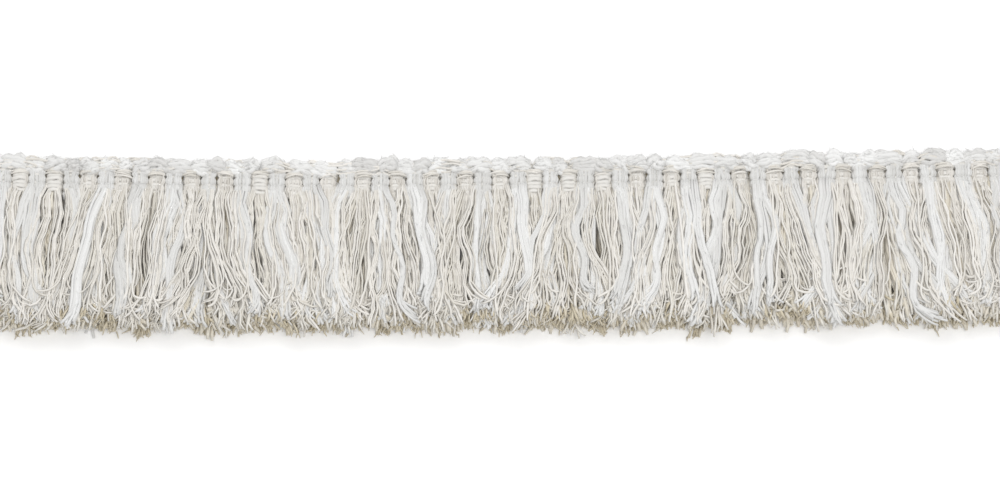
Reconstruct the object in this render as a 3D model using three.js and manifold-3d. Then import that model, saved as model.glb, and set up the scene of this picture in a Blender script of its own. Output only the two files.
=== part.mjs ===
// Brush fringe trim: a cut length of thick cotton trimming, lying face up and flat on its back.
// Millimetres, +Z up. X runs along the trim and +Y towards its looped edge. Z = 0 is the surface under it.
//
// From the looped edge down, the trim has a row of puffed loops where the weft turns, a heading of upright
// weft ribs held in rows of stitching, and a thick cut skirt. The third row of ribs is the strip that the
// front locks grow out of. The middle and back locks grow out of plain strips behind it.

import * as THREE from "three";
import { mergeVertices } from "three/addons/utils/BufferGeometryUtils.js";
import Module from "manifold-3d";

const wasm = await Module();
wasm.setup();

// Along the trim
const TRIM_LENGTH = 300;
const RIB_COUNT = 63;
const RIB_PITCH = TRIM_LENGTH / RIB_COUNT;
const PIECE_GAP = 0.3;

// Across the trim, each measured down from the looped edge at y = 0
const LOOP_DEPTH = 3.3;
const STITCH_ROW = 2.25;
const HEADING_TOP = -LOOP_DEPTH - PIECE_GAP;
const HEADING_FOOT = HEADING_TOP - 2 * STITCH_ROW;
const STRIP_TOP = HEADING_FOOT - PIECE_GAP;
const STRIP_FOOT = STRIP_TOP - STITCH_ROW + PIECE_GAP;
const SKIRT_DROP = 40;

// Up from the surface, at the heading
const SOFT_RIB_CROWN = 4.2;
const FINE_RIB_CROWN = 3.8;
const RIB_SHOULDER_DROP = 0.25;
const RIB_GROOVE_DROP = 1.5;
const STITCH_DIP = 0.55;
const THINNEST_STRIP = 0.45;
const RIB_COLUMNS = [0, 0.26, 0.74];

// The row of loops: each puff spans two ribs and is pinched where it dives into the next soft rib
const PUFF_SIDES = 7;
const PUFF_STATIONS = [
  { along: 0.0, reach: 0.62, height: 2.9 },
  { along: 0.18, reach: 0.96, height: 4.2 },
  { along: 0.5, reach: 1.0, height: 4.6 },
  { along: 0.82, reach: 0.92, height: 4.1 },
];
const PUFF_UNEVEN = 0.12;
const PUFF_SLANT = 0.2;

// Each layer of locks: its number of locks to a rib, how many ribs in they start, the widest a lock gets, how
// far down it bends, its length and how unevenly that is cut, how much of the sweeps it follows, the lowest and
// highest level of its strip and of its tips, and the level at which a lock's top leaves the strip
const LAYERS = [
  {
    node: "fringe_back", locksToRib: 1, start: 0, widest: 4.3, bends: [9, 20], length: 39.2, uneven: 0.8,
    swept: 0.2, strip: { low: 0, high: 0.8 }, root: 0.6, tips: { low: 0, high: 2.8 },
  },
  {
    node: "fringe_middle", locksToRib: 1, start: 0.5, widest: 4.3, bends: [9, 20], length: 37.8, uneven: 1.3,
    swept: 0.5, strip: { low: 1.1, high: 1.9 }, root: 1.7, tips: { low: 3.1, high: 5.7 },
  },
  {
    node: "fringe_front", locksToRib: 2, start: 0, widest: 2.6, bends: [9, 20, 28.5], length: 35.2, uneven: 2.0,
    swept: 1.0, strip: { low: 2.2, high: 4.0 }, root: 2.95, tips: { low: 6.0, high: 8.8 },
  },
];
const LOCK_GAP = 0.34;
const LOCK_ROOT_BITE = 0.7;
const LOCK_RIDGE_SHARE = 0.55;
const LOCK_TIP_SHARE = 0.62;
const LOFT_KNOTS = [[0, 0], [9, 0.5], [20, 1], [SKIRT_DROP, 1]];
const RIDGE_UNEVEN = 0.3;
const FINE_LOCK_DROP = 0.55;

// Where the skirt has been brushed sideways: the middle of each sweep, how far it leans there at the cut ends,
// and how far along the trim it spreads
const SWEEPS = [
  { at: -108, lean: -6.0, spread: 14 },
  { at: -62, lean: 7.0, spread: 11 },
  { at: -30, lean: 2.2, spread: 8 },
  { at: 14, lean: -2.4, spread: 10 },
  { at: 34, lean: 2.0, spread: 6 },
  { at: 58, lean: -4.4, spread: 9 },
  { at: 80, lean: 5.6, spread: 10 },
  { at: 102, lean: -3.6, spread: 7 },
  { at: 119, lean: 7.0, spread: 11 },
];
const LEAN_CURVE = 1.4;
const BOW_WAVE = { length: 17, sway: 0.5, phase: 1.2 };

// The whole trim lies in two nearly straight runs that meet in a soft bend left of the middle
const BEND_X = -50;
const BEND_SOFTNESS = 30;
const BEND_SLOPE = 0.019;

const WELD_DISTANCE = 1e-4;
const FLATNESS = 0.01;

const mix = (from, to, share) => from + (to - from) * share;

/** An even-looking number from -1 to 1 that depends only on the two whole numbers given. */
function jitter(index, salt) {
  const scattered = Math.sin(index * 127.1 + salt * 311.7) * 43758.5453;
  return 2 * (scattered - Math.floor(scattered)) - 1;
}

/** How far the skirt has fluffed up at a distance below the strip, from 0 to 1. */
function loftAt(distance) {
  const upper = LOFT_KNOTS.findIndex(([knot]) => distance <= knot);
  if (upper <= 0) return 0;
  const [from, fromLoft] = LOFT_KNOTS[upper - 1];
  const [to, toLoft] = LOFT_KNOTS[upper];
  return mix(fromLoft, toLoft, (distance - from) / (to - from));
}

/** How far the trim's bend lifts it towards +Y at x. */
function bendAt(x) {
  return BEND_SLOPE * (Math.hypot(x - BEND_X, BEND_SOFTNESS) - BEND_SOFTNESS);
}

/** Where a strand rooted at x has swayed to, at a share of the skirt's drop. */
function swayedX(x, share, swept) {
  const leans = SWEEPS.map(({ at, lean, spread }) => lean * Math.exp(-(((x - at) / spread) ** 2)));
  const lean = leans.reduce((sum, each) => sum + each, 0);
  const bow = BOW_WAVE.sway * Math.sin((2 * Math.PI * x) / BOW_WAVE.length + BOW_WAVE.phase);
  return x + swept * lean * share ** LEAN_CURVE + bow * Math.sin(Math.PI * share);
}

/** Deletes all but the positions and welds the points that lie together. */
function welded(geometry) {
  geometry.deleteAttribute("normal");
  geometry.deleteAttribute("uv");
  return mergeVertices(geometry, WELD_DISTANCE);
}

/** A box whose grid points, counted along X, Y and Z, are each put where place says, then bent with the trim. */
function shapedBox(stepsX, stepsY, stepsZ, place) {
  const geometry = welded(new THREE.BoxGeometry(stepsX, stepsY, stepsZ, stepsX, stepsY, stepsZ));
  const positions = geometry.attributes.position;
  for (let index = 0; index < positions.count; index++) {
    const column = Math.round(positions.getX(index) + stepsX / 2);
    const row = Math.round(positions.getY(index) + stepsY / 2);
    const level = Math.round(positions.getZ(index) + stepsZ / 2);
    const [x, y, z] = place(column, row, level);
    positions.setXYZ(index, x, y + bendAt(x), z);
  }
  return geometry;
}

/** A closed geometry as a solid that can be joined to others. */
function solidOf(geometry) {
  return new wasm.Manifold(
    new wasm.Mesh({
      numProp: 3,
      vertProperties: new Float32Array(geometry.attributes.position.array),
      triVerts: new Uint32Array(geometry.index.array),
    }),
  );
}

/** A solid's outer faces as a geometry, with flat faces merged. */
function geometryOf(solid) {
  const mesh = solid.asOriginal().simplify(FLATNESS).getMesh();
  const geometry = new THREE.BufferGeometry();
  geometry.setAttribute("position", new THREE.BufferAttribute(mesh.vertProperties, 3));
  geometry.setIndex(new THREE.BufferAttribute(mesh.triVerts, 1));
  return geometry;
}

/** The x of a rib's column, counted along the whole trim. */
function ribColumnX(column) {
  const rib = Math.floor(column / RIB_COLUMNS.length);
  const share = RIB_COLUMNS[column % RIB_COLUMNS.length];
  return -TRIM_LENGTH / 2 + (rib + share) * RIB_PITCH;
}

/** The top of the ribbed heading at a column, on a stitch line or halfway between two. */
function ribTop(column, onStitchLine) {
  const rib = Math.floor(column / RIB_COLUMNS.length);
  const crown = rib % 2 === 0 ? SOFT_RIB_CROWN : FINE_RIB_CROWN;
  const inGroove = column % RIB_COLUMNS.length === 0;
  const level = inGroove ? FINE_RIB_CROWN - RIB_GROOVE_DROP : crown - RIB_SHOULDER_DROP;
  return level - (onStitchLine ? STITCH_DIP : 0);
}

/** A band of ribs with one row of pillows for each pair of steps across it. */
function ribbedBand(foot, top, rows, bottom) {
  const columns = RIB_COUNT * RIB_COLUMNS.length;
  return shapedBox(columns, rows * 2, 1, (column, row, level) => [
    ribColumnX(column),
    mix(foot, top, row / (rows * 2)),
    level === 0 ? bottom : Math.max(bottom + THINNEST_STRIP, ribTop(column, row % 2 === 0)),
  ]);
}

function headingGeometry() {
  return geometryOf(solidOf(ribbedBand(HEADING_FOOT, HEADING_TOP, 2, 0)));
}

/** One closed run of puffs along the looped edge, flat underneath. */
function edgeLoopsGeometry() {
  const puffs = Math.floor(RIB_COUNT / 2);
  const stations = puffs * PUFF_STATIONS.length;
  const apexUp = Math.PI / 2;
  const geometry = welded(
    new THREE.CylinderGeometry(1, 1, stations, PUFF_SIDES, stations, false, apexUp),
  );
  const positions = geometry.attributes.position;
  const flatReach = Math.cos(Math.PI / PUFF_SIDES);
  for (let index = 0; index < positions.count; index++) {
    const station = Math.round(positions.getY(index) + stations / 2);
    const { along, reach, height } = PUFF_STATIONS[station % PUFF_STATIONS.length];
    const puff = Math.floor(station / PUFF_STATIONS.length);
    const x = -TRIM_LENGTH / 2 + RIB_PITCH * (0.5 + 2 * (puff + along));
    const across = positions.getZ(index);
    const up = (positions.getX(index) + flatReach) / (1 + flatReach);
    const centre = -LOOP_DEPTH / 2 + PUFF_UNEVEN * jitter(puff, 3) + PUFF_SLANT * (0.5 - along);
    positions.setXYZ(index, x, centre + (across * reach * LOOP_DEPTH) / 2 + bendAt(x), up * height);
  }
  return geometry;
}

/** One lock of a layer, from inside its strip to its cut end: four-sided, with a narrower ridge on top. */
function lock(layer, layerIndex, lockIndex) {
  const pitch = RIB_PITCH / layer.locksToRib;
  const rootX = -TRIM_LENGTH / 2 + layer.start * RIB_PITCH + (lockIndex + 0.5) * pitch;
  const tip = layer.length + layer.uneven * jitter(lockIndex, layerIndex);
  const fineDrop = layer.locksToRib === 2 && lockIndex % 2 === 1 ? FINE_LOCK_DROP : 0;
  const ridgeDrop = fineDrop + (RIDGE_UNEVEN * (1 + jitter(lockIndex, layerIndex + 7))) / 2;
  const distances = [0, ...layer.bends, tip];
  const segments = distances.length - 1;
  return shapedBox(1, segments, 1, (side, row, level) => {
    const distance = distances[segments - row];
    const isRoot = row === segments;
    const narrowing = row === 0 ? LOCK_TIP_SHARE : 1;
    const drop = distance / SKIRT_DROP;
    const left = swayedX(rootX - pitch / 2, drop, layer.swept);
    const right = swayedX(rootX + pitch / 2, drop, layer.swept);
    const width = Math.min(layer.widest, right - left - LOCK_GAP) * narrowing;
    const ridge = level === 1 ? LOCK_RIDGE_SHARE : 1;
    const low = mix(layer.strip.low, layer.tips.low, loftAt(distance));
    const high = mix(layer.root, layer.tips.high - ridgeDrop, loftAt(distance));
    return [
      (left + right) / 2 + (side - 0.5) * width * ridge,
      STRIP_FOOT + (isRoot ? LOCK_ROOT_BITE : -distance),
      level === 0 ? low : mix(low, high, narrowing),
    ];
  });
}

/** A layer of locks joined to the strip that they grow out of. */
function fringeGeometry(layer, layerIndex) {
  const { low, high } = layer.strip;
  const isFront = layerIndex === LAYERS.length - 1;
  const strip = isFront
    ? ribbedBand(STRIP_FOOT, STRIP_TOP, 1, low)
    : shapedBox(RIB_COUNT, 1, 1, (column, row, level) => [
        -TRIM_LENGTH / 2 + column * RIB_PITCH,
        row === 0 ? STRIP_FOOT : STRIP_TOP,
        level === 0 ? low : high,
      ]);
  const lockCount = (RIB_COUNT - 2 * layer.start) * layer.locksToRib;
  const locks = Array.from({ length: lockCount }, (_, index) => solidOf(lock(layer, layerIndex, index)));
  return geometryOf(wasm.Manifold.union([solidOf(strip), ...locks]));
}

function cottonMaterial(colour, roughness) {
  return new THREE.MeshStandardMaterial({ color: colour, roughness, metalness: 0 });
}

function piece(name, geometry, material) {
  const mesh = new THREE.Mesh(geometry, material);
  mesh.name = name;
  return mesh;
}

const SOFT_WHITE = 0xe6e5e2;
const RAW_CREAM = 0xdedad0;
const DEEP_CREAM = 0xcfc8b8;

const trim = new THREE.Group();
trim.name = "brush_fringe_trim";
trim.add(
  piece("edge_loops", edgeLoopsGeometry(), cottonMaterial(SOFT_WHITE, 0.95)),
  piece("heading", headingGeometry(), cottonMaterial(RAW_CREAM, 0.92)),
);
const layerColours = [DEEP_CREAM, DEEP_CREAM, RAW_CREAM];
LAYERS.forEach((layer, index) => {
  trim.add(piece(layer.node, fringeGeometry(layer, index), cottonMaterial(layerColours[index], 0.92)));
});

// The origin is under the middle of the trim, so the pieces are moved back by the middle of their box
const extent = new THREE.Box3().setFromObject(trim, true);
const middle = extent.getCenter(new THREE.Vector3());
trim.children.forEach((mesh) => mesh.position.set(-middle.x, -middle.y, 0));

export default trim;
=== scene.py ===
"""A cut length of cotton brush fringe trim, dressed with its yarns and lying face up on a pale floor.

Places are worked out in millimetres: x runs along the trim, t is how far down from the looped edge a point
lies, and z is up from the floor. The meshes themselves are in metres.
"""

import math

import bpy
import numpy as np
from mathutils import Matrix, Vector


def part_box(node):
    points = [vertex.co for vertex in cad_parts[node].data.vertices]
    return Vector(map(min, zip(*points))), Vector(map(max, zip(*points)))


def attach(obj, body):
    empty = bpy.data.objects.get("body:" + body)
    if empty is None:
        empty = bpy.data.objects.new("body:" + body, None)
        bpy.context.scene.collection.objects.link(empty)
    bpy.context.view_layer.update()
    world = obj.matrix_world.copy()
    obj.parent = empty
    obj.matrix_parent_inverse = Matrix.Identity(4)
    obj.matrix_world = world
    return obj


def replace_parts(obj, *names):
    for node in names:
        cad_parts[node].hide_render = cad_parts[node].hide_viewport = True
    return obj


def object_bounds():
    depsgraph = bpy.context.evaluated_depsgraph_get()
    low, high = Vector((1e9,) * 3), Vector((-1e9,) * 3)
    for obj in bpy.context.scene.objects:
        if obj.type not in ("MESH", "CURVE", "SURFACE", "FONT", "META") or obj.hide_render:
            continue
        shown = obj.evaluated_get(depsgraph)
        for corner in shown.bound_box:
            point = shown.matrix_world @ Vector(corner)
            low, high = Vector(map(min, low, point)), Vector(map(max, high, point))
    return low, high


MM = 0.001

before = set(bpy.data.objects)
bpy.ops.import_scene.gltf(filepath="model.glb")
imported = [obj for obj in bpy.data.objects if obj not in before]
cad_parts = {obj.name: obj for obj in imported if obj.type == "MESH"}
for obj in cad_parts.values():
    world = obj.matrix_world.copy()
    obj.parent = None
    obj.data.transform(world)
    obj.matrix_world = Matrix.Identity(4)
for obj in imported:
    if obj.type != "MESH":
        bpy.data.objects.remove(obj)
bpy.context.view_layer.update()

# Along the trim: soft ribs and fine ribs in turn
TRIM_LENGTH = (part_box("heading")[1].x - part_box("heading")[0].x) / MM
RIB_COUNT = 63
RIB_PITCH = TRIM_LENGTH / RIB_COUNT
SOFT_RIBS = range(0, RIB_COUNT, 2)
FINE_RIBS = range(1, RIB_COUNT, 2)

# Down the trim: where the ribs begin and end, the rows of stitching and binding, and the skirt below them
HEADING_TOP = 3.6
STRIP_FOOT = 10.35
STITCH_ROW = 2.25
BINDING_PITCH = 1.12
BINDING_ROWS = 6
SKIRT_DROP = 40.0

# The ribs' arched section
RIB_HALF_WIDTH = 2.54
RIB_BASE = 1.0
SOFT_CROWN = 4.2
FINE_CROWN = 3.8
RIB_STRANDS = 9

# The skirt's height: underneath, on top where it leaves the heading, and on top once it has fluffed up
SKIRT_UNDERSIDE = 0.45
SKIRT_ROOT_TOP = 2.5
SKIRT_TOP = 8.15
LOWEST_STRAND = 0.75
LOFT_LENGTH = 20

# How the skirt's yarns hang: from inside the heading, leaning more and more, with their cut ends hooked
ROOT_BITE = 3.2
GATHER_LENGTH = 7
LEAN_CURVE = 1.4
HOOK_LENGTH = 7.0
CURL_START = 0.68
DROOP_START = 0.7
END_CROWDING = 1.35
END_BUNDLES = 5

# The soft bend in which the trim lies
BEND_X = -50
BEND_SOFTNESS = 30
BEND_SLOPE = 0.019

# Where the skirt has been brushed sideways: middle, lean at the cut ends, and how far it spreads
SWEEPS = np.array(
    [
        (-108, -6.0, 14),
        (-62, 7.0, 11),
        (-30, 2.2, 8),
        (14, -2.4, 10),
        (34, 2.0, 6),
        (58, -4.4, 9),
        (80, 5.6, 10),
        (102, -3.6, 7),
        (119, 7.0, 11),
    ]
)


def mix(low, high, share):
    return low + (high - low) * share


def smooth(value):
    """Eases from 0 to 1 as the value goes from 0 to 1."""
    value = np.clip(value, 0, 1)
    return value * value * (3 - 2 * value)


def side_by_side(count):
    """The places of so many things that lie evenly side by side, in a width of 1 about 0."""
    return (np.arange(count) + 0.5) / count - 0.5


def bend_at(x):
    return BEND_SLOPE * (np.hypot(x - BEND_X, BEND_SOFTNESS) - BEND_SOFTNESS)


def sweep_at(x):
    """How far brushing makes the skirt lean at x, at its cut ends."""
    at, lean, spread = SWEEPS.T
    return (lean * np.exp(-(((np.asarray(x)[..., None] - at) / spread) ** 2))).sum(-1)


def ruffle_at(x):
    """The smaller leans between one lock and the next."""
    return 3.3 * np.sin(2 * np.pi * x / 26 + 1.1) + 2.4 * np.sin(2 * np.pi * x / 14.3 + 4.0)


def lean_at(x):
    """How far the locks that hang from x lean in all, at their cut ends."""
    return sweep_at(x) + ruffle_at(x)


def swell_at(x):
    """How far the skirt bows sideways at x, halfway down."""
    return 1.1 * np.sin(2 * np.pi * x / 31 + 0.4) + 0.7 * np.sin(2 * np.pi * x / 17 + 2.0)


def rib_x(rib):
    return -TRIM_LENGTH / 2 + (rib + 0.5) * RIB_PITCH


# The looped edge's y where the trim isn't bent, read from the heading's highest corner
EDGE_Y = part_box("heading")[1].y / MM + HEADING_TOP - bend_at(TRIM_LENGTH / 2)


def placed(x, t, z):
    """Points of the trim as (..., xyz) in millimetres."""
    x, t, z = np.broadcast_arrays(x, t, z)
    return np.stack([x, EDGE_Y + bend_at(x) - t, z], axis=-1)


# Materials


def srgb(red, green, blue):
    """A colour of a picture, 0 to 255, as the linear colour that a shader takes."""
    parts = [value / 255 for value in (red, green, blue)]
    return (*[((p + 0.055) / 1.055) ** 2.4 if p > 0.04045 else p / 12.92 for p in parts], 1.0)


class Value:
    """A socket of a material's nodes, on which Python's own operators add Math nodes."""

    def __init__(self, shader, socket):
        self.shader = shader
        self.socket = socket

    def output(self, index):
        """Another output of the same node."""
        return Value(self.shader, self.socket.node.outputs[index])

    def __add__(self, other):
        return self.shader.maths("ADD", self, other)

    def __sub__(self, other):
        return self.shader.maths("SUBTRACT", self, other)

    def __rsub__(self, other):
        return self.shader.maths("SUBTRACT", other, self)

    def __mul__(self, other):
        return self.shader.maths("MULTIPLY", self, other)

    __radd__ = __add__
    __rmul__ = __mul__


class Shader:
    """A new material around a Principled BSDF, whose sockets are set by name."""

    def __init__(self, name, **settings):
        self.material = bpy.data.materials.new(name)
        self.material.use_nodes = True
        self.tree = self.material.node_tree
        self.surface = self.tree.nodes["Principled BSDF"]
        for socket, value in settings.items():
            self.set(socket.replace("_", " "), value)

    def feed(self, socket, value):
        if isinstance(value, Value):
            self.tree.links.new(value.socket, socket)
        else:
            socket.default_value = value

    def set(self, socket, value):
        self.feed(self.surface.inputs[socket], value)

    def add(self, kind, settings=None, inputs=None, output=0):
        """Adds a node, with its own settings first and then its sockets' values or links."""
        node = self.tree.nodes.new(kind)
        for name, value in (settings or {}).items():
            setattr(node, name, value)
        for name, value in (inputs or {}).items():
            self.feed(node.inputs[name], value)
        return Value(self, node.outputs[output])

    def maths(self, operation, *values):
        return self.add("ShaderNodeMath", {"operation": operation}, dict(enumerate(values)))

    def noise(self, place, scale, detail):
        inputs = {"Vector": place, "Scale": scale, "Detail": detail}
        return self.add("ShaderNodeTexNoise", inputs=inputs)

    def blend(self, factor, low, high):
        settings = {"data_type": "RGBA", "blend_type": "MIX"}
        return self.add("ShaderNodeMix", settings, {0: factor, 6: low, 7: high}, output=2)


def yarn_material(name, pale, deep, plies, lay, ridge, fibre, drawn=0.35, relief=0.25):
    """Cotton yarn: its plies wind once round it every lay millimetres, and its fibres lie along the plies.

    Ridge is how strongly the plies stand out and fibre how fine the fibres are. Drawn is how much shorter
    the fibres' pattern is than it is long, and relief is how high it stands, in millimetres.
    """
    shader = Shader(name, Roughness=0.95, Sheen_Weight=0.1, Sheen_Roughness=0.6, Specular_IOR_Level=0.2)
    yarn_map = shader.add("ShaderNodeUVMap", {"uv_map": "yarn"})
    around = shader.add("ShaderNodeSeparateXYZ", inputs={0: yarn_map})
    along = around.output(1)
    tone = shader.add("ShaderNodeAttribute", {"attribute_name": "tone"}, output=2)
    wound = around * plies + along * (1 / lay)
    crest = shader.maths("ABSOLUTE", shader.maths("SINE", wound * math.pi))
    yarn_place = {0: wound * 3.0, 1: along * drawn, 2: tone * 40.0}
    fibre_place = shader.add("ShaderNodeCombineXYZ", inputs=yarn_place)
    fibres = shader.noise(fibre_place, fibre, 3.0)
    slubs = shader.noise(fibre_place, 0.22, 2.0)
    # Painted shade: the plies' crests are coloured lighter and the grooves between them darker, on top of
    # the yarn's own tone, slubs and fibres.
    shade = tone + (slubs - 0.5) * 0.5 + (fibres - 0.5) * 0.35 + crest * (0.2 * ridge) - 0.1
    shader.set("Base Color", shader.blend(shade, deep, pale))
    height = crest * ridge + fibres * 0.35
    bump = {"Strength": 0.45, "Distance": relief * MM, "Height": height}
    shader.set("Normal", shader.add("ShaderNodeBump", inputs=bump))
    return shader.material


def roving_material(name, pale, deep, fibre=2.2, **pattern):
    """Soft roving, one thick ply that is hardly twisted."""
    return yarn_material(name, pale, deep, plies=1, lay=16, ridge=0.1, fibre=fibre, **pattern)


def thread_material(name, pale, deep, lay=3.4):
    """Fine thread of two plies, twisted firmly."""
    return yarn_material(name, pale, deep, plies=2, lay=lay, ridge=0.3, fibre=1.6)


def shaded_ground_material():
    """The plain weave between the ribs, coloured dark taupe as painted shade for the slots between them."""
    shader = Shader("woven_ground_painted_shade", Roughness=0.95)
    place = shader.add("ShaderNodeTexCoord", output=3)
    grain = shader.noise(place, 900.0, 3.0)
    # Painted shade: the ground is coloured dark taupe to stand for the shade in the slots between the ribs.
    shader.set("Base Color", shader.blend(grain, srgb(142, 132, 112), srgb(180, 170, 148)))
    shader.set("Normal", shader.add("ShaderNodeBump", inputs={"Distance": 0.2 * MM, "Height": grain}))
    return shader.material


SOFT_ROVING = roving_material(
    "soft_roving", srgb(231, 231, 230), srgb(205, 204, 201), drawn=0.5, relief=0.4
)
RIB_ROVING = roving_material("rib_roving", srgb(222, 222, 221), srgb(203, 202, 199))
RIB_THREAD = thread_material("rib_thread", srgb(227, 224, 219), srgb(204, 200, 193))
LOOP_ROVING = roving_material(
    "loop_roving", srgb(237, 237, 236), srgb(213, 212, 210), fibre=1.5, drawn=0.9, relief=0.7
)
FINE_THREAD = thread_material("fine_thread", srgb(235, 232, 227), srgb(216, 212, 204))
SHADED_THREAD = thread_material("shaded_thread", srgb(231, 228, 221), srgb(213, 208, 198))
# Painted shade: the back layer's threads are the same cotton as the front ones, coloured darker and warmer
# for the shade deep in the skirt.
INNER_THREAD_PAINTED_SHADE = thread_material("inner_thread_painted_shade", srgb(231, 226, 214), srgb(211, 203, 187))
# Painted shade: the cut ends are the same cotton, coloured darker taupe for the shade on the cut face, which
# is turned away from the light.
CUT_THREAD_PAINTED_SHADE = thread_material("cut_thread_painted_shade", srgb(221, 213, 196), srgb(199, 189, 165))
BINDING_THREAD = thread_material("binding_thread", srgb(226, 224, 220), srgb(208, 205, 199), lay=2.6)
GROUND_PAINTED_SHADE = shaded_ground_material()


# Yarns


def tubes(paths, radii, sides, up, squeeze):
    """The points of tubes along the paths, as (yarn, station, side, xyz)."""
    tangent = np.gradient(paths, axis=1)
    tangent /= np.linalg.norm(tangent, axis=-1, keepdims=True)
    side = np.cross(tangent, np.asarray(up, float))
    side /= np.linalg.norm(side, axis=-1, keepdims=True)
    rise = np.cross(side, tangent)
    angle = np.linspace(0, 2 * np.pi, sides, endpoint=False)
    across = np.cos(angle)[:, None] * side[:, :, None, :]
    above = squeeze * np.sin(angle)[:, None] * rise[:, :, None, :]
    return paths[:, :, None, :] + radii[:, :, None, None] * (across + above)


def tube_faces(yarns, stations, sides):
    """The corners of the tubes' walls, as (face, 4), and of their two rows of end caps, as (yarn, side)."""
    first = (np.arange(yarns) * stations * sides)[:, None, None]
    ring = (np.arange(stations - 1) * sides)[None, :, None]
    here = np.arange(sides)[None, None, :]
    after = (here + 1) % sides
    low_here, low_after = first + ring + here, first + ring + after
    walls = np.stack([low_here, low_here + sides, low_after + sides, low_after], axis=-1).reshape(-1, 4)
    start_caps = first[:, 0] + np.arange(sides)[None, :]
    end_caps = first[:, 0] + (stations - 1) * sides + np.arange(sides)[None, ::-1]
    return walls, start_caps, end_caps


def yarn_coordinates(paths, sides):
    """The yarn map: how far round the yarn and how far along it, with no seam where it comes round."""
    yarns, stations, _ = paths.shape
    step = np.linalg.norm(np.diff(paths, axis=1), axis=-1)
    along = np.concatenate([np.zeros((yarns, 1)), np.cumsum(step, axis=1)], axis=1)
    here = np.arange(sides)[None, None, :]
    round_share = np.stack([here, here, here + 1, here + 1], axis=-1) / sides
    round_share = np.broadcast_to(round_share, (yarns, stations - 1, sides, 4))
    run = np.stack([along[:, :-1], along[:, 1:], along[:, 1:], along[:, :-1]], axis=-1)
    run = np.broadcast_to(run[:, :, None, :], round_share.shape)
    walls = np.stack([round_share, run], axis=-1).reshape(-1, 2)
    caps = np.zeros((2 * yarns * sides, 2))
    return np.concatenate([walls, caps])


def yarn_piece(name, paths, radii, tones, sides, material, up=(0, 0, 1), squeeze=1.0):
    """One mesh of closed tubes. Paths are (yarn, station, xyz) and radii (yarn, station), in millimetres.

    Squeeze makes each yarn that much thinner along the up direction than across it.
    """
    yarns, stations, _ = paths.shape
    points = tubes(paths, radii, sides, up, squeeze)
    walls, start_caps, end_caps = tube_faces(yarns, stations, sides)
    corners = np.concatenate([walls.ravel(), start_caps.ravel(), end_caps.ravel()])
    sizes = np.concatenate([np.full(len(walls), 4), np.full(2 * yarns, sides)])
    starts = np.concatenate([[0], np.cumsum(sizes)[:-1]])

    mesh = bpy.data.meshes.new(name)
    mesh.vertices.add(yarns * stations * sides)
    mesh.vertices.foreach_set("co", (points * MM).astype(np.float32).ravel())
    mesh.loops.add(len(corners))
    mesh.loops.foreach_set("vertex_index", corners.astype(np.int32))
    mesh.polygons.add(len(sizes))
    mesh.polygons.foreach_set("loop_start", starts.astype(np.int32))
    mesh.update(calc_edges=True)
    mesh.polygons.foreach_set("use_smooth", np.arange(len(sizes)) < len(walls))

    yarn_map = mesh.uv_layers.new(name="yarn")
    yarn_map.data.foreach_set("uv", yarn_coordinates(paths, sides).astype(np.float32).ravel())
    tone = mesh.attributes.new("tone", "FLOAT", "POINT")
    tone.data.foreach_set("value", np.repeat(tones, stations * sides).astype(np.float32))

    mesh.materials.append(material)
    piece = bpy.data.objects.new(name, mesh)
    bpy.context.scene.collection.objects.link(piece)
    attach(piece, "root")
    return piece


def tones_for(rng, count, middle, spread):
    return np.clip(rng.normal(middle, spread, count), 0, 1)


def fuzz(name, paths, radii, count, seed, node):
    """Fine fibres that stand out of soft yarns and give them their blurred edge."""
    rng = np.random.default_rng(seed)
    yarns, stations, _ = paths.shape
    yarn = rng.integers(0, yarns, count)
    station = rng.integers(1, stations - 1, count)
    start = paths[yarn, station]
    along = paths[yarn, station + 1] - paths[yarn, station - 1]
    along /= np.linalg.norm(along, axis=-1, keepdims=True)
    along *= rng.choice([-1, 1], (count, 1))
    out = rng.normal(size=(count, 3)) + np.array([0, 0, 0.5])
    out -= (out * along).sum(-1, keepdims=True) * along
    out /= np.linalg.norm(out, axis=-1, keepdims=True)
    root = start + out * radii[yarn, station][:, None] * 0.85
    reach = rng.uniform(0.5, 1.7, (count, 1))
    lift = rng.uniform(0.25, 0.9, (count, 1))
    wander = rng.normal(0, 0.35, (count, 3))
    share = np.linspace(0, 1, 3)[None, :, None]
    course = along[:, None] * share + (out * lift)[:, None] * share**1.3 + wander[:, None] * share**2
    fibres = root[:, None] + course * reach[:, None]
    fibres[..., 2] = np.maximum(fibres[..., 2], 0.06)
    thickness = rng.uniform(0.04, 0.07, (count, 1)) * np.array([1.0, 0.9, 0.5])
    tones = tones_for(rng, count, 0.85, 0.1)
    piece = yarn_piece(name, fibres, thickness, tones, 3, SOFT_ROVING, up=(0.3, 0.2, 0.93))
    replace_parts(piece, node)


# The row of loops


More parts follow.
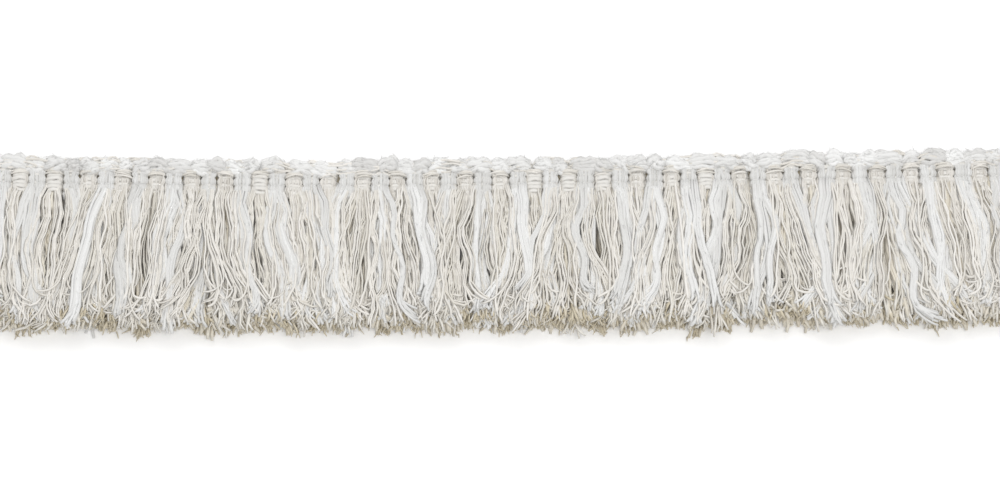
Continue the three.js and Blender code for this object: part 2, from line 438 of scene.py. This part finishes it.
def loop_row(rng, ribs, strands, stations, height, depth, radius, middle, tone):
    """Bundles of strands that puff out over the edge, each from its rib to the next one in the list.

    Height and depth are half the size of a bundle's section, and middle is the t of the puffs' middle line.
    Tone is the mean and the spread of the bundles' tones.
    """
    share = np.linspace(0, 1, stations)
    arch = np.sin(np.pi * share) ** 0.36
    paths, tones = [], []
    for rib, next_rib in zip(ribs, ribs[1:]):
        reach = rng.normal(0, 0.28)
        slant = rng.normal(0.3, 0.5)
        turn = rng.uniform(0, 2 * np.pi)
        twist = rng.normal(0.3, 0.8)
        start, finish = rng.normal(-0.02, 0.09), rng.normal(1.02, 0.09)
        lumps = 1 + 0.2 * np.sin(rng.uniform(9, 17) * share + rng.uniform(0, 6))
        lift = rng.normal(0, 0.2)
        bundle_tone = rng.normal(*tone)
        spine_x = rib_x(rib) + (next_rib - rib) * RIB_PITCH * mix(start, finish, share)
        spine_t = middle + 0.8 * (1 - arch) - reach * arch + slant * (share - 0.5)
        spine_z = mix(1.9, 2.9, arch) + lift * arch
        for strand in range(strands):
            angle = turn + 2 * np.pi * strand / strands + twist * share
            puff = mix(0.4, 1.0, arch) * lumps * rng.uniform(0.6, 1.1)
            wobble = 0.28 * np.sin(rng.uniform(5, 12) * share + rng.uniform(0, 6))
            x = spine_x + rng.normal(0, 0.4)
            t = spine_t + height * puff * np.cos(angle) + wobble
            z = spine_z + depth * puff * np.sin(angle)
            paths.append(placed(x, t, z))
            tones.append(bundle_tone + rng.normal(0, 0.1))
    swell = radius * mix(0.7, 1.0, arch) * (1 + 0.08 * np.sin(11 * share))
    radii = swell[None, :] * rng.uniform(0.8, 1.15, len(paths))[:, None]
    return np.array(paths), radii, np.clip(tones, 0, 1)


def soft_loops(rng):
    """The big soft puffs, most from one rib to the next and some over half a rib more."""
    joins = [0]
    while joins[-1] < RIB_COUNT - 1:
        joins.append(min(joins[-1] + rng.choice([1, 1, 1, 1.5]), RIB_COUNT - 1))
    paths, radii, tones = loop_row(
        rng,
        joins,
        strands=9,
        stations=10,
        height=1.75,
        depth=1.15,
        radius=0.82,
        middle=2.55,
        tone=(0.55, 0.36),
    )
    piece = yarn_piece("soft_loops", paths, radii, tones, 5, LOOP_ROVING, up=(0, 0.1, 1))
    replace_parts(piece, "edge_loops")
    fuzz("loop_fuzz", paths, radii, 5000, 42, "edge_loops")


def fine_loops(rng):
    """The fine threads behind the soft puffs and between them, from one fine rib to the next."""
    strands = 8
    paths, radii, tones = loop_row(
        rng,
        list(FINE_RIBS),
        strands=strands,
        stations=12,
        height=1.7,
        depth=0.9,
        radius=0.32,
        middle=2.6,
        tone=(0.5, 0.2),
    )
    paths[..., 2] += np.repeat(rng.uniform(-0.5, 0.35, len(FINE_RIBS) - 1), strands)[:, None]
    piece = yarn_piece("fine_loops", paths, radii, tones, 5, FINE_THREAD, up=(0, 0.1, 1))
    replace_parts(piece, "edge_loops")


def crossing_threads():
    """Fine threads that lie across the tops of the fine ribs, close under the loops."""
    rng = np.random.default_rng(12)
    share = np.linspace(0, 1, 12)
    arch = np.sin(np.pi * share) ** 0.7
    paths = []
    for rib in FINE_RIBS:
        for thread in range(3):
            x = rib_x(rib) + (share - 0.5) * RIB_PITCH * rng.uniform(1.0, 1.35) + rng.normal(0, 0.2)
            t = 4.3 + 0.5 * thread + rng.normal(0, 0.7) * (share - 0.5) + rng.normal(0, 0.25)
            z = mix(1.6, FINE_CROWN + 0.35 - 0.06 * thread, arch)
            paths.append(placed(x, t, z))
    paths = np.array(paths)
    radii = np.full(paths.shape[:2], 0.26)
    tones = tones_for(rng, len(paths), 0.5, 0.25)
    piece = yarn_piece("crossing_threads", paths, radii, tones, 5, FINE_THREAD, up=(0, 1, 0.01))
    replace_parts(piece, "edge_loops")


def edge_loops():
    """The knobbly looped edge."""
    rng = np.random.default_rng(11)
    soft_loops(rng)
    fine_loops(rng)
    crossing_threads()


# The heading


def stitch_dip(t):
    """How deep the stitching draws the ribs in at t, from 0 halfway between two rows of it to 1 on a row."""
    return np.abs(np.cos(np.pi * (t - HEADING_TOP) / STITCH_ROW)) ** 3


def rib_strands(name, ribs, seed, crown, radius, below, tone, material, sides, stations):
    """Upright strands that fill the arched section of each rib, drawn in along the stitching.

    They run on below the strip's foot, where they sink in under the skirt.
    """
    rng = np.random.default_rng(seed)
    t = np.linspace(HEADING_TOP - 0.3, STRIP_FOOT + below, stations)
    tucked = mix(0.35, 1.0, smooth((t - HEADING_TOP + 0.3) / 2.2))
    past_foot = smooth((t - STRIP_FOOT + 0.6) / 3.0)
    dip = stitch_dip(t) * (1 - past_foot)
    half_width = RIB_HALF_WIDTH - radius
    paths = []
    for rib in ribs:
        middle = rib_x(rib) + rng.normal(0, 0.16)
        wide = rng.normal(1.0, 0.05)
        for strand in range(RIB_STRANDS):
            angle = np.pi * (strand + 0.5) / RIB_STRANDS + rng.normal(0, 0.05)
            sway = rng.normal(0, 0.12) * np.sin(t * rng.uniform(0.8, 1.4) + rng.uniform(0, 6))
            across = np.sign(np.cos(angle)) * np.abs(np.cos(angle)) ** 0.72
            x = middle + wide * half_width * across * (1 - 0.19 * dip) + sway
            rise = (crown - RIB_BASE - radius) * np.sin(angle) ** 0.22
            rise = rise * (1 - 0.24 * dip) * tucked * mix(1.0, 0.7, past_foot)
            z = RIB_BASE + rise + rng.normal(0, 0.06)
            paths.append(placed(x, t, z))
    paths = np.array(paths)
    radii = radius * (1 - 0.14 * dip)[None, :] * rng.uniform(0.88, 1.12, len(paths))[:, None]
    tones = tones_for(rng, len(paths), *tone)
    return yarn_piece(name, paths, radii, tones, sides, material)


def binding():
    """The threads that cross the whole heading, on top of some fine ribs and sunk into the others."""
    rng = np.random.default_rng(15)
    reach = TRIM_LENGTH / 2 - 0.3
    x = np.linspace(-reach, reach, RIB_COUNT * 12)
    rib = np.clip(np.floor((x + TRIM_LENGTH / 2) / RIB_PITCH), 0, RIB_COUNT - 1).astype(int)
    soft = rib % 2 == 0
    showing = rng.uniform(0, 1, RIB_COUNT) < 0.33
    share = (x - rib_x(rib)) / np.where(soft, 1.5, 2.25)
    arched = np.clip(1 - np.abs(share) ** 3, 0.0, 1) ** 0.5
    paths = []
    for row in range(BINDING_ROWS):
        wander = 0.1 * np.sin(x * 0.7 + rng.uniform(0, 6)) + 0.07 * np.sin(x * 1.9 + rng.uniform(0, 6))
        t = HEADING_TOP + 1.0 + BINDING_PITCH * row + wander
        on_top = showing[rib] | (row == 0)
        crown = np.where(soft, SOFT_CROWN - 0.75, FINE_CROWN + np.where(on_top, 0.08, -0.5))
        z = mix(1.2, crown, arched) + 0.07 * np.sin(x * 1.7 + rng.uniform(0, 6)) - 0.2 * stitch_dip(t)
        paths.append(placed(x, t, z))
    paths = np.array(paths)
    radii = 0.72 + 0.07 * np.sin(x * 2.9 + rng.uniform(0, 6, (len(paths), 1)))
    tones = tones_for(rng, len(paths), 0.6, 0.1)
    return yarn_piece("binding", paths, radii, tones, 5, BINDING_THREAD, squeeze=0.24)


def heading_ground():
    """The plain woven ground between the ribs, coloured dark as painted shade for the slots."""
    bpy.ops.object.select_all(action="DESELECT")
    bpy.ops.mesh.primitive_cube_add(size=1, location=(0, 0, 0))
    ground = bpy.context.object
    ground.name = "heading_ground"
    bpy.ops.object.mode_set(mode="EDIT")
    bpy.ops.mesh.subdivide(number_cuts=16)
    bpy.ops.object.mode_set(mode="OBJECT")
    length = TRIM_LENGTH - 3.0
    low_t, high_t = HEADING_TOP + 0.1, STRIP_FOOT - 0.15
    low_z, high_z = 0.05, 1.5
    for vertex in ground.data.vertices:
        x = vertex.co.x * length
        t = mix(low_t, high_t, 0.5 - vertex.co.y)
        z = mix(low_z, high_z, vertex.co.z + 0.5)
        vertex.co = placed(x, t, z) * MM
    # Its dark colour is painted shade for the slots between the ribs.
    ground.data.materials.append(GROUND_PAINTED_SHADE)
    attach(ground, "root")
    return ground


def heading():
    """The woven band: soft ribs and fine ribs in turn, bound across, on a ground coloured dark as painted
    shade.
    """
    soft_ribs = rib_strands(
        "soft_ribs",
        SOFT_RIBS,
        seed=13,
        crown=SOFT_CROWN,
        radius=0.56,
        below=2.6,
        tone=(0.6, 0.2),
        material=RIB_ROVING,
        sides=5,
        stations=17,
    )
    fine_ribs = rib_strands(
        "fine_ribs",
        FINE_RIBS,
        seed=14,
        crown=FINE_CROWN,
        radius=0.39,
        below=1.4,
        tone=(0.5, 0.25),
        material=RIB_THREAD,
        sides=4,
        stations=15,
    )
    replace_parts(soft_ribs, "heading")
    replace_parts(fine_ribs, "heading")
    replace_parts(binding(), "heading")
    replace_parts(heading_ground(), "heading")


# How the skirt's yarns hang

# A set of strands is a dictionary that holds one number for each strand under these names, in
# millimetres unless it says otherwise:
#   root, side and rise: the x that its bundle hangs from, and its own place beside and above the bundle
#   depth: its share of the skirt's height, 0 underneath and 1 on top
#   length: from inside the heading to the cut
#   lean and curl: how far its cut end is brushed aside, over its whole length and over its last third
#   bow: how far it stands aside halfway down
#   wave, wavelength and phase: how it snakes, the phase in radians
#   crimp: a small, short wave left by the weaving
#   hook: the angle in radians through which its cut end turns
#   ripple and droop: how far it goes up and down on its way, and how far its cut end sinks


def gathered(own, distance, opened):
    """The x that strands hang from, drawn in to the middle of their rib where they leave the heading."""
    own_rib = rib_x(np.floor((own["root"] + TRIM_LENGTH / 2) / RIB_PITCH))
    freed = mix(0.8, 1.0, smooth((distance - ROOT_BITE) / GATHER_LENGTH))
    return own_rib + (own["root"] + own["side"] * opened - own_rib) * freed


def swayed(own, distance, share):
    """How far strands stand aside of where they hang from."""
    drop = distance / SKIRT_DROP
    lean = own["lean"] * drop**LEAN_CURVE
    bow = own["bow"] * np.sin(np.pi * np.minimum(share * 1.1, 1))
    wave = own["wave"] * np.sin(2 * np.pi * distance / own["wavelength"] + own["phase"])
    curl = own["curl"] * smooth((share - CURL_START) / (1 - CURL_START)) ** 1.6
    crimp = own["crimp"] * np.sin(2 * np.pi * distance / (0.26 * own["wavelength"]) + 3 * own["phase"])
    return lean + bow + wave * smooth(drop * 4) + curl + crimp


def hooked(own, distance):
    """How far a hooked cut end turns aside, and how much shorter the strand hangs for it."""
    share = np.clip(1 + (distance - own["length"]) / HOOK_LENGTH, 0, 1)
    turn = np.copysign(np.maximum(np.abs(own["hook"]), 0.05), own["hook"])
    aside = HOOK_LENGTH * (1 - np.cos(turn * share)) / turn
    shorter = HOOK_LENGTH * (share - np.sin(turn * share) / turn)
    return aside, shorter


def kept_in(x):
    """Holds back the strands that would stray past the trim's cut ends."""
    limit = TRIM_LENGTH / 2 - 1.5
    beyond = np.abs(x) - limit
    return np.where(beyond > 0, np.sign(x) * (limit + 0.3 * beyond), x)


def height_at(own, distance, share, opened):
    """How high strands lie, up on the slope of the skirt and down again at the cut."""
    loft = np.sin(np.pi / 2 * np.clip(distance / LOFT_LENGTH, 0, 1))
    low = mix(SKIRT_UNDERSIDE, SKIRT_ROOT_TOP, own["depth"])
    high = mix(SKIRT_UNDERSIDE, SKIRT_TOP, own["depth"])
    swell = own["ripple"] * np.sin(2 * np.pi * distance / (1.3 * own["wavelength"]) + 1.7 * own["phase"])
    lift = (own["rise"] * opened + swell) * smooth(0.2 + 3 * distance / SKIRT_DROP)
    droop = own["droop"] * smooth((share - DROOP_START) / (1 - DROOP_START))
    return np.maximum(mix(low, high, loft) + lift - droop, LOWEST_STRAND)


def shares_down(stations):
    """The stations' shares of a strand's length. They lie closer together towards the cut end."""
    return 1 - (1 - np.linspace(0, 1, stations)) ** END_CROWDING


def hang(strands, stations, start=0.0):
    """Paths of hanging strands, as (strand, station, xyz), from a share of their length down to the cut."""
    own = {name: np.asarray(values, float)[:, None] for name, values in strands.items()}
    share = mix(start, 1, shares_down(stations)[None, :])
    distance = own["length"] * share
    opened = mix(0.75, 1.25, smooth(share))
    aside, shorter = hooked(own, distance)
    x = kept_in(gathered(own, distance, opened) + swayed(own, distance, share) + aside)
    slope = (own["lean"] + own["curl"]) / (1.4 * own["length"])
    upright = np.sqrt(np.clip(1 - slope**2, 0.6, 1))
    t = STRIP_FOOT - ROOT_BITE + distance * upright - shorter
    return placed(x, t, height_at(own, distance, share, opened))


def bloomed(stations):
    """How thick a thread is along its length: a cut end opens a little before it closes."""
    return np.interp(shares_down(stations), [0, 0.84, 0.95, 1], [1, 1, 1.25, 0.75])[None, :]


# The skirt's layers

# Each layer's yarns, in millimetres unless it says otherwise:
#   thread, thickness: the fine threads' material, and the range of their radii
#   depth: its range in the skirt's height, from 0 underneath to 1 on top
#   length, uneven: how long its yarns are, and how unevenly they are cut
#   swept, stray: how much of the skirt's lean it takes, and how far its bundles stray from that
#   aside: how far it is moved along the trim, in ribs
#   soft, fine: how many bundles hang from each soft rib and from each fine one
#   members, spread: threads in a bundle, and how far they stand from its middle
#   rovings, strands: rovings from each soft rib, and soft strands in each
#   stations, bends: points along each thread and along each roving
SKIRT_LAYERS = {
    "back": {
        "node": "fringe_back",
        # painted shade: threads coloured darker for the shade deep in the skirt
        "thread": INNER_THREAD_PAINTED_SHADE,
        "thickness": (0.46, 0.68),
        "depth": (0.08, 0.74),
        "length": 41.6,
        "uneven": 1.1,
        "swept": 0.4,
        "stray": 0.7,
        "aside": 0.25,
        "soft": 3,
        "fine": 4,
        "members": 5,
        "spread": 2.2,
        "rovings": 1,
        "strands": 8,
        "stations": 10,
        "bends": 10,
    },
    "middle": {
        "node": "fringe_middle",
        "thread": SHADED_THREAD,
        "thickness": (0.3, 0.44),
        "depth": (0.5, 0.88),
        "length": 41.0,
        "uneven": 1.5,
        "swept": 0.75,
        "stray": 1.2,
        "aside": 0.5,
        "soft": 3,
        "fine": 5,
        "members": 6,
        "spread": 2.0,
        "rovings": 3,
        "strands": 7,
        "stations": 11,
        "bends": 12,
    },
    "front": {
        "node": "fringe_front",
        "thread": FINE_THREAD,
        "thickness": (0.28, 0.42),
        "depth": (0.7, 1.0),
        "length": 39.4,
        "uneven": 2.0,
        "swept": 1.1,
        "stray": 1.6,
        "aside": 0.0,
        "soft": 2,
        "fine": 4,
        "members": 7,
        "spread": 1.35,
        "rovings": 3,
        "strands": 10,
        "stations": 20,
        "bends": 16,
    },
}


def bundle_roots(rng, layer):
    """The x of one layer's bundles, rib by rib, and then of the extra ones that fill the trim's cut ends."""
    ribs = []
    for rib in range(RIB_COUNT):
        count, width = (layer["soft"], 1.0) if rib in SOFT_RIBS else (layer["fine"], 1.45)
        ribs.append(rib_x(rib) + width * RIB_PITCH * side_by_side(count))
    where = np.concatenate(ribs) + layer["aside"] * RIB_PITCH
    ends = np.repeat([-1, 1], END_BUNDLES) * (TRIM_LENGTH / 2 - rng.uniform(0.6, 2.2, 2 * END_BUNDLES))
    return np.concatenate([where[np.abs(where) < TRIM_LENGTH / 2 - 0.8], ends])


def bundles(rng, layer):
    """Fine threads of one layer, in loose bundles that sway together, more of them from the fine ribs."""
    where = bundle_roots(rng, layer)
    count, members = len(where), layer["members"]
    depth = rng.uniform(*layer["depth"], count)
    depth[-2 * END_BUNDLES :] = np.tile(np.linspace(*layer["depth"], END_BUNDLES), 2)
    shared = {
        "root": where + rng.normal(0, 0.3, count),
        "depth": depth,
        "length": layer["length"] + rng.normal(0, layer["uneven"], count),
        "lean": lean_at(where) * layer["swept"] + rng.normal(0, layer["stray"], count),
        "bow": 1.3 * swell_at(where) + rng.normal(0, 0.8, count),
        "wave": rng.uniform(0.35, 1.15, count),
        "wavelength": rng.uniform(15, 25, count),
        "phase": 2 * np.pi * where / 29 + rng.normal(0, 0.8, count),
        "curl": rng.normal(0, 0.9, count),
        "hook": rng.normal(0, 0.4, count),
        "ripple": rng.uniform(0, 0.35, count),
        "droop": rng.uniform(0, 0.9, count),
    }
    strands = {name: np.repeat(values, members) for name, values in shared.items()}
    total = count * members
    strands["crimp"] = rng.uniform(0.05, 0.26, total)
    angle = rng.uniform(0, 2 * np.pi, total)
    reach = np.sqrt(rng.uniform(0, 1, total))
    strands["side"] = layer["spread"] * reach * np.cos(angle)
    strands["rise"] = 0.55 * reach * np.sin(angle)
    strands["lean"] = strands["lean"] + rng.normal(0, 0.3, total)
    strands["wave"] = strands["wave"] * rng.uniform(0.9, 1.1, total)
    strands["phase"] = strands["phase"] + rng.normal(0, 0.15, total)
    strands["length"] = strands["length"] + rng.normal(0, 0.9, total)
    strands["curl"] = strands["curl"] + rng.normal(0, 0.8, total)
    curly = np.where(rng.uniform(0, 1, total) < 0.3, 1.9, 0.35)
    strands["hook"] = strands["hook"] + curly * rng.normal(0, 1, total)
    return strands


def rovings(rng, layer):
    """Soft thick rovings of one layer, a few from each soft rib."""
    roots = np.repeat([rib_x(rib) for rib in SOFT_RIBS], layer["rovings"])
    count = len(roots)
    return {
        "root": roots + rng.normal(0, 0.25, count),
        "side": 0.9 * RIB_PITCH * np.tile(side_by_side(layer["rovings"]), len(SOFT_RIBS)),
        "rise": rng.normal(0.1, 0.25, count),
        "depth": rng.uniform(*layer["depth"], count),
        "length": layer["length"] + rng.normal(-1.3, 1.2 * layer["uneven"], count),
        "lean": lean_at(roots) * layer["swept"] + rng.normal(0, 1.5 * layer["stray"], count),
        "bow": 1.3 * swell_at(roots) + rng.normal(0, 0.9, count),
        "wave": rng.uniform(0.3, 1.1, count),
        "crimp": rng.uniform(0.03, 0.13, count),
        "wavelength": rng.uniform(16, 28, count),
        "phase": 2 * np.pi * roots / 29 + rng.normal(0, 0.9, count),
        "curl": rng.normal(0, 1.3, count),
        "hook": rng.normal(0, 0.4, count),
        "ripple": rng.uniform(0, 0.4, count),
        "droop": rng.uniform(0, 0.8, count),
    }


def combed(rng, paths, strands):
    """Each roving as a flat band of soft strands, widest at its rib and splayed at the cut end."""
    yarns, stations, _ = paths.shape
    share = np.linspace(0, 1, stations)
    each = (yarns, strands, 1)
    size = rng.uniform(0.45, 1.05, (yarns, 1, 1))
    place = (np.arange(strands)[None, :, None] + rng.uniform(0, 0.8, each)) / strands
    angle = 2 * np.pi * place + rng.normal(0, 1.3, (yarns, 1, 1)) * share
    loosened = 1 + rng.uniform(-0.2, 0.55, each) * smooth((share - 0.62) / 0.38)
    reach = size * rng.uniform(0.6, 1.0, each) * mix(1.3, 1.0, smooth(share * 3)) * loosened
    tip = np.clip((share - 0.78) / 0.22, 0, 1) ** 2
    across = 1.25 * reach * np.cos(angle) + rng.normal(0, 0.95, each) * tip
    down = rng.normal(0, 1.0, each) * smooth((share - 0.5) / 0.5)
    above = 0.5 * reach * np.sin(angle) + rng.normal(0, 0.2, each) * tip
    bands = paths[:, None] + np.stack([across, down, above], axis=-1)
    bands[..., 2] = np.maximum(bands[..., 2], 0.7)
    lumps = 1 + 0.09 * np.sin(share * rng.uniform(14, 34, each) + rng.uniform(0, 6, each))
    closing = mix(1.0, 0.85, smooth((share - 0.85) / 0.15))
    radii = rng.uniform(0.42, 0.58, each) * size**0.5 * lumps * closing
    tones = np.repeat(tones_for(rng, yarns, 0.7, 0.14), strands) + rng.normal(0, 0.12, yarns * strands)
    return bands.reshape(-1, stations, 3), radii.reshape(-1, stations), np.clip(tones, 0, 1)


def skirt_layer(name, seed):
    """One layer of the skirt. Gives back its rovings' paths and radii, for their fuzz."""
    rng = np.random.default_rng(seed)
    layer = SKIRT_LAYERS[name]
    paths = hang(bundles(rng, layer), layer["stations"])
    radii = rng.uniform(*layer["thickness"], (len(paths), 1)) * bloomed(layer["stations"])
    tones = tones_for(rng, len(paths), 0.62, 0.22)
    fine = yarn_piece(f"{name}_threads", paths, radii, tones, 3, layer["thread"])
    paths, radii, tones = combed(rng, hang(rovings(rng, layer), layer["bends"]), layer["strands"])
    thick = yarn_piece(f"{name}_rovings", paths, radii, tones, 4, SOFT_ROVING)
    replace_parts(fine, layer["node"])
    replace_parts(thick, layer["node"])
    return paths, radii


def cut_tufts():
    """The crowd of opened ends at the cut, behind the front locks. Those of one thread keep together."""
    rng = np.random.default_rng(31)
    threads, ends = 480, 7
    count = threads * ends
    reach = TRIM_LENGTH / 2 - 1
    depth = np.repeat(rng.uniform(0, 0.8, threads), ends)
    root = np.repeat(rng.uniform(-reach, reach, threads), ends)
    uneven = rng.normal(0, 0.85, threads)
    straggling = rng.uniform(0, 1, threads) < 0.11
    longer = np.repeat(uneven + 1.7 * straggling, ends)
    tufts = {
        "root": root,
        "side": rng.normal(0, 0.5, count),
        "rise": rng.normal(0, 0.4, count),
        "depth": depth,
        "length": mix(42.0, 40.4, depth) + longer + rng.normal(0, 0.3, count),
        "lean": sweep_at(root) * 0.5
        + np.repeat(rng.normal(0, 2.0, threads), ends)
        + rng.normal(0, 0.8, count),
        "bow": rng.normal(0, 0.5, count),
        "wave": rng.uniform(0.1, 0.4, count),
        "crimp": np.zeros(count),
        "wavelength": rng.uniform(8, 16, count),
        "phase": rng.uniform(0, 2 * np.pi, count),
        "curl": rng.normal(0, 0.6, count),
        "hook": rng.normal(0, 0.5, count),
        "ripple": rng.uniform(0, 0.3, count),
        "droop": rng.uniform(0, 0.5, count),
    }
    sunk = np.array([2.2, 0.9, 0.2, 0])
    blooming = np.array([0.7, 0.9, 1.15, 0.75])
    paths = hang(tufts, len(sunk), start=0.84)
    paths[..., 2] = np.maximum(paths[..., 2] - sunk, 0.7)
    radii = rng.uniform(0.27, 0.47, (count, 1)) * blooming
    tones = tones_for(rng, count, 0.5, 0.18)
    # The cut ends' taupe colour is painted shade for the cut face turned away from the light.
    piece = yarn_piece("cut_tufts", paths, radii, tones, 3, CUT_THREAD_PAINTED_SHADE)
    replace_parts(piece, "fringe_back")
    frayed_ends(rng, paths[::2, -1])


def frayed_ends(rng, ends):
    """The loose fibres into which the cut thread ends have come apart."""
    count = len(ends)
    root = ends + rng.normal(0, 0.2, (count, 3)) + np.array([0, 0.5, 0])
    course = np.stack([rng.normal(0, 0.6, count), -np.ones(count), rng.normal(0.05, 0.35, count)], axis=-1)
    reach = rng.uniform(0.5, 1.7, (count, 1))
    bend = rng.normal(0, 0.3, (count, 3))
    share = np.linspace(0, 1, 3)[None, :, None]
    fibres = root[:, None] + (course * reach)[:, None] * share + bend[:, None] * share**2
    fibres[..., 2] = np.maximum(fibres[..., 2], 0.3)
    radii = rng.uniform(0.14, 0.26, (count, 1)) * np.array([1.0, 0.95, 0.55])
    tones = tones_for(rng, count, 0.6, 0.25)
    # The frayed fibres' colour is painted shade for the cut face turned away from the light.
    piece = yarn_piece("frayed_ends", fibres, radii, tones, 3, CUT_THREAD_PAINTED_SHADE)
    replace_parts(piece, "fringe_back")


def stray_threads():
    """Single threads that lie loose across the front of the skirt."""
    rng = np.random.default_rng(32)
    count, stations = 80, 24
    reach = TRIM_LENGTH / 2 - 1
    root = rng.uniform(-reach, reach, count)
    strays = {
        "root": root,
        "side": np.zeros(count),
        "rise": rng.uniform(0.2, 0.5, count),
        "depth": rng.uniform(0.9, 1.02, count),
        "length": 38.6 + rng.normal(0, 1.8, count),
        "lean": lean_at(root) * 0.9 + rng.normal(0, 1.3, count),
        "bow": rng.normal(0, 1.1, count),
        "wave": rng.uniform(0.1, 0.6, count),
        "crimp": rng.uniform(0.02, 0.13, count),
        "wavelength": rng.uniform(10, 22, count),
        "phase": rng.uniform(0, 2 * np.pi, count),
        "curl": rng.normal(0, 1.0, count),
        "hook": rng.normal(0, 1.1, count),
        "ripple": rng.uniform(0, 0.3, count),
        "droop": rng.uniform(0, 0.8, count),
    }
    paths = hang(strays, stations)
    radii = rng.uniform(0.25, 0.36, (count, 1)) * bloomed(stations)
    tones = tones_for(rng, count, 0.6, 0.2)
    piece = yarn_piece("stray_threads", paths, radii, tones, 5, FINE_THREAD)
    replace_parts(piece, "fringe_front")


def skirt():
    """The cut skirt, from the surface up."""
    skirt_layer("back", seed=20)
    skirt_layer("middle", seed=21)
    paths, radii = skirt_layer("front", seed=22)
    cut_tufts()
    stray_threads()
    fuzz("roving_fuzz", paths, radii, 5000, 41, "fringe_front")


# Floor, light and camera

# The picture's width at the trim, in metres, and the lens and sensor, in millimetres
VIEW_WIDTH = 275 * MM
LENS = 100
SENSOR = 36
ELEVATION = math.radians(72)

# The point of the trim that the camera is turned to, from the middle of the trim's box
AIM_DOWN = 3.5 * MM
AIM_HEIGHT = 4 * MM


def floor():
    bpy.ops.object.select_all(action="DESELECT")
    bpy.ops.mesh.primitive_plane_add(size=8, location=(0, 0, 0))
    ground = bpy.context.object
    ground.name = "floor"
    shader = Shader("pale_floor", Base_Color=srgb(253, 253, 253), Roughness=0.9)
    ground.data.materials.append(shader.material)


def point_at(thing, aim):
    direction = Vector(aim) - thing.location
    thing.rotation_euler = direction.to_track_quat("-Z", "Y").to_euler()


def area_light(name, place, size, power):
    """A soft light that shines on the middle of the trim."""
    bpy.ops.object.light_add(type="AREA", location=place)
    light = bpy.context.object
    light.name = name
    light.data.shape = "RECTANGLE"
    light.data.size, light.data.size_y = size
    light.data.energy = power
    point_at(light, (0, 0, 0))


def studio():
    world = bpy.data.worlds.new("studio")
    world.use_nodes = True
    world.node_tree.nodes["Background"].inputs["Color"].default_value = (1, 1, 1, 1)
    world.node_tree.nodes["Background"].inputs["Strength"].default_value = 0.62
    bpy.context.scene.world = world
    area_light("key", place=(-0.15, 0.75, 1.0), size=(1.2, 0.8), power=4.8)
    area_light("fill", place=(0.1, -0.34, 1.05), size=(0.6, 0.4), power=5.0)
    scene = bpy.context.scene
    scene.view_settings.view_transform = "Standard"
    scene.cycles.max_bounces = 12
    scene.cycles.diffuse_bounces = 10


def camera():
    distance = VIEW_WIDTH * LENS / SENSOR
    low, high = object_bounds()
    aim = ((low[0] + high[0]) / 2, (low[1] + high[1]) / 2 - AIM_DOWN, AIM_HEIGHT)
    place = (aim[0], aim[1] - distance * math.cos(ELEVATION), aim[2] + distance * math.sin(ELEVATION))
    bpy.ops.object.camera_add(location=place)
    view = bpy.context.object
    view.data.lens = LENS
    view.data.sensor_width = SENSOR
    point_at(view, aim)
    bpy.context.scene.camera = view


camera()
floor()
studio()
edge_loops()
heading()
skirt()
